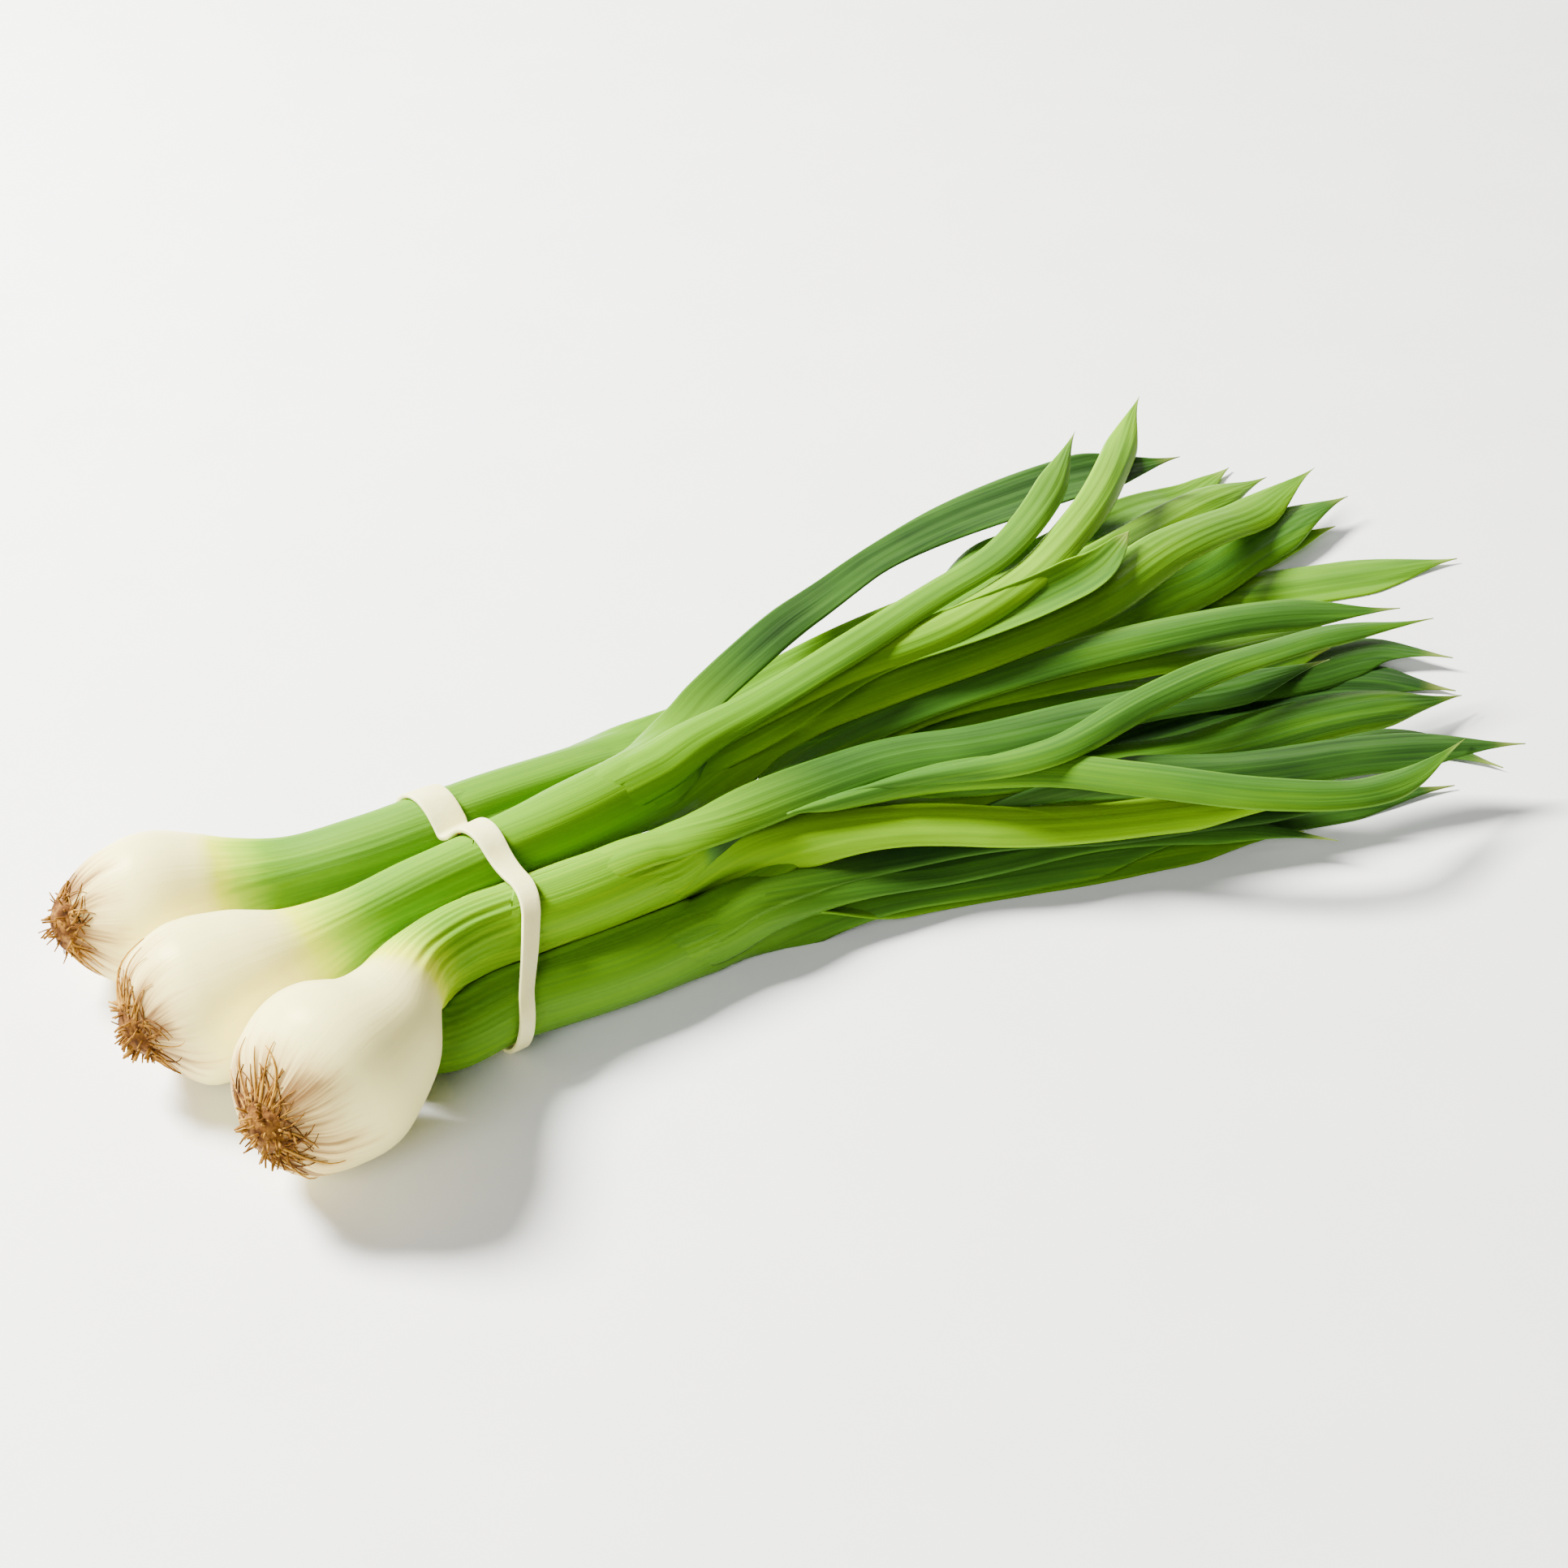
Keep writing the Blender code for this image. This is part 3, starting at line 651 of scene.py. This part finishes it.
def make_sheath(sheath, others, material):
    """Bulb and sheath: a tube that follows the solid, with ribs where it is green."""
    number = sheath.number
    stations = np.arange(sheath.stations[0], CORE_END, SHEATH_STEP)
    centres, radii, _, left, above = sheath.at(stations)
    turn = np.linspace(0, 2 * math.pi, SHEATH_SIDES, endpoint=False)
    around = np.cos(turn)[:, None] * left[:, None] + np.sin(turn)[:, None] * above[:, None]
    from_root = (stations - stations[0])[:, None]
    share = from_root / sheath.length
    green = sheath.green(stations)[:, None]

    count, height = RIBS[number]
    ribbed = ease(green, 0.0, RIBS_GREEN) * (1 - ease(share, *RIBS_FADE))
    twisted = turn + RIBS_TWIST * share
    ribs = np.sin(count * twisted + 2.0 * np.sin(3 * turn + number))
    ribs += 0.6 * np.sin(0.5 * count * twisted + number)
    uneven = TWO_LOBES * np.sin(2 * turn + number)
    uneven = uneven + THREE_LOBES * np.sin(3 * turn + 2.1 * number + 5 * share)
    reach = radii[:, None] * (1 + uneven) + height * ribs * ribbed
    if number == SAG_ONION:
        reach = reach + sagging(from_root, turn)
    reach = reach + pressed(centres[:, None] + reach[..., None] * around, others)

    points, faces = skin(centres[:, None] + reach[..., None] * around)
    values = spread(
        reach.shape,
        along=stations[:, None],
        round=turn * GRAIN,
        # From the sheath's end on, the core is painted full deep green, as painted shade between the
        # leaves.
        green=np.maximum(green, ease(stations, *CORE_PAINTED_SHADE)[:, None]),
        root=from_root,
        seed=SHEATH_SEED * number,
    )
    node = f"onion_{number}_bulb_and_sheath"
    piece(f"{node}_skin", points, faces, material, node, values)


# Leaves


def leaf_line(name):
    """Stations, middles and half widths to the left of a leaf's solid, from its sheath out."""
    rings = sections(name, -1)
    middles = np.array([ring.mean(axis=0) for ring in rings])
    stations = lengths(middles) + LEAF_GAP
    along = unit(np.gradient(middles, axis=0))
    halves = []
    for ring, way in zip(rings, along):
        apart = np.linalg.norm(ring[:, None] - ring[None], axis=2)
        a, b = np.unravel_index(np.argmax(apart), apart.shape)
        half = 0.5 * (ring[a] - ring[b])
        left = np.cross(UP, way)
        halves.append(half if half @ left > 0 else -half)
    return stations, middles, np.array(halves)


def on_sheath(name, sheath, stations):
    """A leaf as it lies on its sheath: its line, the way to its left, its distance from the
    sheath's middle, and 1, or -1 for a leaf on the underside."""
    start, _, _, place, sunk = BASES.get(name, INNER)
    _, middles, _ = sheath.leaves[name]
    centres, radii, along, left, above = sheath.at(stations)
    if place is None:
        end_centre, _, _, end_left, end_above = (value[0] for value in sheath.at(np.zeros(1)))
        offset = middles[0] - end_centre
        angle = math.atan2(offset @ end_above, offset @ end_left)
    else:
        angle = math.radians(place)
    out = left * math.cos(angle) + above * math.sin(angle)
    closed_in = sheath.end_radius * mix(1, CLOSED_IN, ease(stations, 0, CLOSES_OVER))
    radius = np.where(stations > 0, closed_in, radii)
    layer = LIFT - sunk
    rise = ease(stations, start, start + RISE) if start < ON_SKIN else np.ones(len(stations))
    line = centres + out * (radius + mix(-UNDER, layer, rise))[:, None]
    side = 1.0 if math.sin(angle) > UNDERSIDE else -1.0
    return line, np.cross(out, along), radius + layer, side


def strap_widths(name, stations, solid_width):
    """Half widths of a leaf beyond its sheath, the one where they settle, and how much of
    them a slim leaf lacks."""
    length = stations[-1]
    settled = np.argmax(stations > SETTLED)
    width = np.where(stations < SETTLED, solid_width[settled], solid_width)
    widest_beyond = np.maximum.accumulate(width[::-1])[::-1]
    width = mix(width, widest_beyond, ease(stations / length, *KEEPS_WIDE))
    wide = width * mix(1.0, LEAF_LOOKS[name][3], ease(stations / length, *WIDENS))
    if name not in SLIM:
        return wide, wide[settled], np.zeros(len(stations))
    slim, later, slim_from, slim_to = SLIM[name]
    narrow = width * mix(slim, later, ease(stations, slim_from, slim_to))
    return narrow, wide[settled], wide - narrow


def arched(reach, bend):
    """Places sideways and down along arcs that bend this much."""
    turn = reach * bend
    safe = np.where(np.abs(bend) < 1e-5, 1e-5, bend)
    sideways = np.where(np.abs(turn) < 1e-4, reach, np.sin(turn) / safe)
    return sideways, (np.cos(turn) - 1) / safe


def waves(stations, spot, seed):
    """How far a leaf's edges wave, most at the edges and not at all in its middle."""
    one_side = wobble(stations, seed, WAVE_LENGTHS[0])[:, None] * np.clip(spot, 0, 1) ** 2
    other_side = wobble(stations, seed + 3, WAVE_LENGTHS[1])[:, None] * np.clip(-spot, 0, 1) ** 2
    return WAVE * (one_side + other_side)


def fold_lines(stations, spot, seed, folds):
    """The folds and the finer veins along a leaf, which end before its edges."""
    drift = DRIFT * wobble(stations, seed + 5, DRIFT_LENGTH)[:, None]
    lines = FOLD_DEPTH * np.cos(2 * math.pi * folds * spot + drift)
    lines = lines + VEIN_DEPTH * np.cos(2 * math.pi * VEINS_PER_FOLD * folds * spot + seed)
    return lines * (1 - spot**4)


def leaf_rings(middle, across, normal, sideways, down, swell):
    """Rings through a leaf's upper and lower side, with its thickness kept on the table."""
    middle, across, normal = middle[:, None], across[:, None], normal[:, None]
    upper = middle + across * sideways[..., None] + normal * (down + swell)[..., None]
    lower = middle + across * sideways[..., None] + normal * (down - swell)[..., None]
    facing_up = normal[..., 2] > 0
    on_table = ABOVE_TABLE + swell + LEAF_EDGE
    upper[..., 2] = np.maximum(upper[..., 2], np.where(facing_up, on_table, ABOVE_TABLE))
    lower[..., 2] = np.maximum(lower[..., 2], np.where(facing_up, ABOVE_TABLE, on_table))
    return np.concatenate([upper, lower[:, -2:0:-1]], axis=1)


def make_leaf(name, sheath, material):
    """One leaf: it starts as an arc on its sheath and opens into a strap."""
    start, free_at, wrap, _, _ = BASES.get(name, INNER)
    tone, curl, folds, _ = LEAF_LOOKS[name]
    knots, middles, halves = sheath.leaves[name]
    seed = LEAF_SEED * list(LEAF_LOOKS).index(name)
    stations = np.append(np.arange(start, knots[-1], LEAF_STEP), knots[-1])
    to_end = knots[-1] - stations
    free_from = FREE_SHARE * start if start < 0 else max(start - FREE_BEFORE, 0)
    free = ease(stations, free_from, free_at)

    # Its line and directions: from its place on the sheath to its solid's.
    hug, hug_left, hug_radius, side = on_sheath(name, sheath, stations)
    solid_half = follow(knots, halves, stations)
    middle = mix(hug, follow(knots, middles, stations), free[:, None])
    way = unit(np.gradient(middle, axis=0))
    across = mix(hug_left, side * unit(solid_half), free[:, None])
    across = unit(across - np.sum(across * way, axis=1)[:, None] * way)
    normal = np.cross(way, across)

    # Its width and thickness.
    strap, settled, lacking = strap_widths(name, stations, np.linalg.norm(solid_half, axis=1))
    middle = middle + across * (free * lacking)[:, None]
    half_width = mix(math.radians(wrap) * hug_radius, strap, free)
    point = np.clip(to_end / TIPS.get(name, TIP), 0.0, 1.0)
    point = point * (2 - point)
    half_width = half_width * mix(TIP_WIDTH, 1.0, point)
    half_width = half_width * mix(START_WIDTH, 1.0, ease(stations - start, 0.0, START_WIDENS))
    thick = LEAF_THICK * mix(START_THICK, 1.0, ease(stations - start, 0.0, START_THICKENS))
    thick = thick * mix(TIP_THICK, 1.0, ease(to_end, 0.0, TIP_THICKENS))

    # Its section: an arc with a few folds, thin at its edges.
    spot = np.linspace(-1, 1, LEAF_SIDES)
    bend = mix(1 / hug_radius, side * math.radians(curl) / (2 * settled), free)
    sideways, down = arched(spot * half_width[:, None], bend[:, None])
    down = down + waves(stations, spot, seed) * (free * point)[:, None]
    down = down + fold_lines(stations, spot, seed, folds) * (half_width / settled)[:, None]
    swell = 0.5 * thick[:, None] * np.sqrt(np.clip(1 - np.abs(spot) ** 5, 0, 1))
    rings = leaf_rings(middle, across, normal, sideways, down, swell)

    points, faces = skin(rings)
    both = np.concatenate([spot, spot[-2:0:-1]])
    values = spread(
        rings.shape[:2],
        along=stations[:, None],
        across=both * half_width[:, None],
        tone=tone,
        seed=seed,
        base=1 - ease(stations, *ROOTED)[:, None],
        green=sheath.green(stations)[:, None],
        edge=np.abs(both) ** 6,
        tip=1 - ease(to_end, 0.0, DRY)[:, None],
    )
    piece(f"{name}_blade", points, faces, material, name, values)


# Roots


def tube(line, radii):
    """Rings of a thin round tube along a line of points."""
    way = unit(np.gradient(line, axis=0))
    aside = unit(np.cross(way, STRAND_ASIDE))
    above = np.cross(way, aside)
    turn = np.linspace(0, 2 * math.pi, STRAND_SIDES, endpoint=False)
    around = np.cos(turn)[:, None] * aside[:, None] + np.sin(turn)[:, None] * above[:, None]
    return line[:, None] + radii[:, None, None] * around


def root_frame(sheath):
    """The ways out of a bulb's root end, aside and up."""
    aside = unit(np.cross(UP, sheath.root_way))
    return sheath.root_way, aside, np.cross(sheath.root_way, aside)


def root_plate(sheath):
    """Rings and paleness of the rough dome that the roots stand on."""
    out, aside, above = root_frame(sheath)
    plate = PLATE * sheath.root_radius
    turn = np.linspace(0, 2 * math.pi, PLATE_SIDES, endpoint=False)
    radial = np.cos(turn)[:, None] * aside + np.sin(turn)[:, None] * above
    rings = []
    for tilt in np.linspace(0.02, 1.0, PLATE_RINGS):
        reach = plate * math.sin(tilt * math.pi / 2)
        height = PLATE_HEIGHT * plate * math.cos(tilt * math.pi / 2) - PLATE_SINK * tilt
        lobes = 1 + PLATE_LOBES * np.sin(5 * turn + sheath.number) * tilt
        ring = sheath.centres[0] + out * height + reach * lobes[:, None] * radial
        rough = np.array([noise.noise(Vector(spot) * 0.9) for spot in ring])
        rings.append(ring + out * (PLATE_ROUGH * rough[:, None]) * tilt)
    return rings, np.zeros(len(rings))


def cut_root(sheath, i, random):
    """Rings and paleness of one root: upright in the tuft's middle, outwards at its rim."""
    out, aside, above = root_frame(sheath)
    angle = i * GOLDEN_ANGLE
    spread_out = math.sqrt((i + 0.5) / ROOTLETS[sheath.number])
    radial = math.cos(angle) * aside + math.sin(angle) * above
    foot = ROOTS_WITHIN * PLATE * sheath.root_radius * spread_out * radial
    foot = sheath.centres[0] + foot - out * ROOTS_SINK * spread_out**2
    flare = float(ease(spread_out, *ROOTS_FLARE))
    way = out * (1 - 0.9 * flare) + radial * (0.3 * spread_out + flare)
    way = unit(way + random.normal(0, 0.3, 3))
    length = random.uniform(*ROOTLET_LENGTH) * mix(1.0, 0.8, spread_out)
    steps = np.linspace(0, 1, ROOTLET_POINTS)[:, None]
    swing = unit(np.cross(way, random.normal(0, 1, 3)))
    line = foot + way * (length * steps - ROOTLET_DEEP)
    line = line + (swing * ROOTLET_BEND - UP * ROOTLET_HANG) * length * steps**2
    thick = random.uniform(*ROOTLET_RADIUS)
    line[:, 2] = np.maximum(line[:, 2], thick + STRAND_CLEAR)
    paleness = np.linspace(*ROOTLET_PALE, ROOTLET_POINTS) * random.uniform(0.2, 1.0)
    return tube(line, thick * np.linspace(*ROOTLET_TAPER, ROOTLET_POINTS)), paleness


def laid_root(sheath, i, random):
    """Rings and paleness of one strand that lies on the bulb's skin."""
    loose = i % LOOSE_EVERY == 0
    angle = random.uniform(0, 2 * math.pi)
    reach = random.uniform(*(LOOSE_REACH if loose else LAID_REACH))
    steps = np.linspace(0, 1, LAID_POINTS)
    stations = sheath.stations[0] + 0.1 + reach * steps**1.5
    centres, radii, _, left, above = sheath.at(stations)
    turn = (angle + random.normal(0, 0.35) * steps**2)[:, None]
    thick = random.uniform(*LAID_RADIUS)
    lift = (radii + 0.15 + random.uniform(0.1, 0.5) * np.sin(steps * 3 + 0.3))[:, None]
    line = centres + (np.cos(turn) * left + np.sin(turn) * above) * lift
    line[:, 2] = np.maximum(line[:, 2], thick + STRAND_CLEAR)
    paleness = LOOSE_PALE if loose else random.uniform(*LAID_PALE)
    rings = tube(line, thick * np.linspace(*LAID_TAPER, LAID_POINTS))
    return rings, np.full(LAID_POINTS, paleness)


def make_roots(sheath, material):
    """Root plate and its cut roots: a rough dome with many short curved strands."""
    number = sheath.number
    random = np.random.default_rng(ROOTS_SEED + number)
    parts = [root_plate(sheath)]
    parts += [cut_root(sheath, i, random) for i in range(ROOTLETS[number])]
    parts += [laid_root(sheath, i, random) for i in range(LAID[number])]
    points, faces, pale = [], [], []
    for rings, paleness in parts:
        spots, part_faces = skin(rings)
        first = len(points)
        points.extend(spots.tolist())
        faces.extend(tuple(first + i for i in face) for face in part_faces)
        pale.extend(np.repeat(paleness, len(rings[0])))
    node = f"onion_{number}_roots"
    piece(f"{node}_tuft", points, faces, material, node, {"pale": pale})


# Band


def make_band(material):
    """The rubber band: the solid's loop with its edges rounded."""
    spots, triangles = welded("rubber_band")
    bm = bmesh.new()
    corners = [bm.verts.new(Vector(spot)) for spot in spots]
    for triangle in triangles:
        bm.faces.new([corners[i] for i in triangle])
    bmesh.ops.recalc_face_normals(bm, faces=bm.faces)
    bmesh.ops.join_triangles(
        bm, faces=bm.faces, angle_face_threshold=BAND_FLAT, angle_shape_threshold=BAND_SQUARE
    )
    sharp = [edge for edge in bm.edges if edge.calc_face_angle() > BAND_SHARP]
    bmesh.ops.bevel(bm, geom=sharp, offset=BAND_ROUNDING, segments=2, affect="EDGES", profile=0.5)
    mesh = bpy.data.meshes.new("rubber_band_loop")
    bm.transform(Matrix.Scale(MM, 4))
    bm.to_mesh(mesh)
    bm.free()
    mesh.shade_smooth()
    mesh.materials.append(material)
    obj = bpy.data.objects.new("rubber_band_loop", mesh)
    bpy.context.scene.collection.objects.link(obj)
    smooth = obj.modifiers.new("smooth", "SUBSURF")
    smooth.levels = smooth.render_levels = 2
    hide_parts("rubber_band")
    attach(obj, "root")


# Table, light and camera


def make_table():
    """A plain pale table."""
    n = Nodes("table")
    where = n.add("ShaderNodeTexCoord").outputs["Object"]
    n.link(n.ramp(n.noise(where, 30.0), TABLE_GREYS), n.shader.inputs["Base Color"])
    n.shader.inputs["Roughness"].default_value = 0.7
    mesh = bpy.data.meshes.new("table")
    corners = [(x * TABLE_HALF, y * TABLE_HALF, 0) for x, y in ((-1, -1), (1, -1), (1, 1), (-1, 1))]
    mesh.from_pydata(corners, [], [(0, 1, 2, 3)])
    mesh.materials.append(n.material)
    obj = bpy.data.objects.new("table", mesh)
    bpy.context.scene.collection.objects.link(obj)


def aim(obj, place, target):
    obj.location = Vector(place)
    obj.rotation_euler = (Vector(target) - Vector(place)).to_track_quat("-Z", "Y").to_euler()


def make_light(name, place, size, power, colour):
    light = bpy.data.lights.new(name, "AREA")
    light.shape = "DISK"
    light.size = size
    light.energy = power
    light.color = colour
    obj = bpy.data.objects.new(name, light)
    bpy.context.scene.collection.objects.link(obj)
    aim(obj, place, CAMERA_TARGET)


def make_lights():
    for name, settings in LIGHTS.items():
        make_light(name, *settings)
    world = bpy.data.worlds.new("soft_room")
    world.use_nodes = True
    background = world.node_tree.nodes["Background"]
    background.inputs["Color"].default_value = (1.0, 1.0, 1.0, 1.0)
    background.inputs["Strength"].default_value = ROOM_LIGHT
    bpy.context.scene.world = world


def make_camera():
    back = Vector((
        math.sin(CAMERA_AZIMUTH) * math.cos(CAMERA_ELEVATION),
        -math.cos(CAMERA_AZIMUTH) * math.cos(CAMERA_ELEVATION),
        math.sin(CAMERA_ELEVATION),
    ))
    data = bpy.data.cameras.new("camera")
    data.lens = CAMERA_LENS
    data.sensor_width = CAMERA_FILM
    obj = bpy.data.objects.new("camera", data)
    bpy.context.scene.collection.objects.link(obj)
    aim(obj, Vector(CAMERA_TARGET) + back * CAMERA_DISTANCE, CAMERA_TARGET)
    bpy.context.scene.camera = obj


skin_look = sheath_material()
leaf_look = leaf_material()
root_look = root_material()
sheaths = {number: Sheath(number) for number in RIBS}
for sheath in sheaths.values():
    make_sheath(sheath, [other for other in sheaths.values() if other is not sheath], skin_look)
    make_roots(sheath, root_look)
for leaf in LEAF_LOOKS:
    make_leaf(leaf, sheaths[int(leaf.split("_")[1])], leaf_look)
make_band(band_material())
make_table()
make_lights()
make_camera()
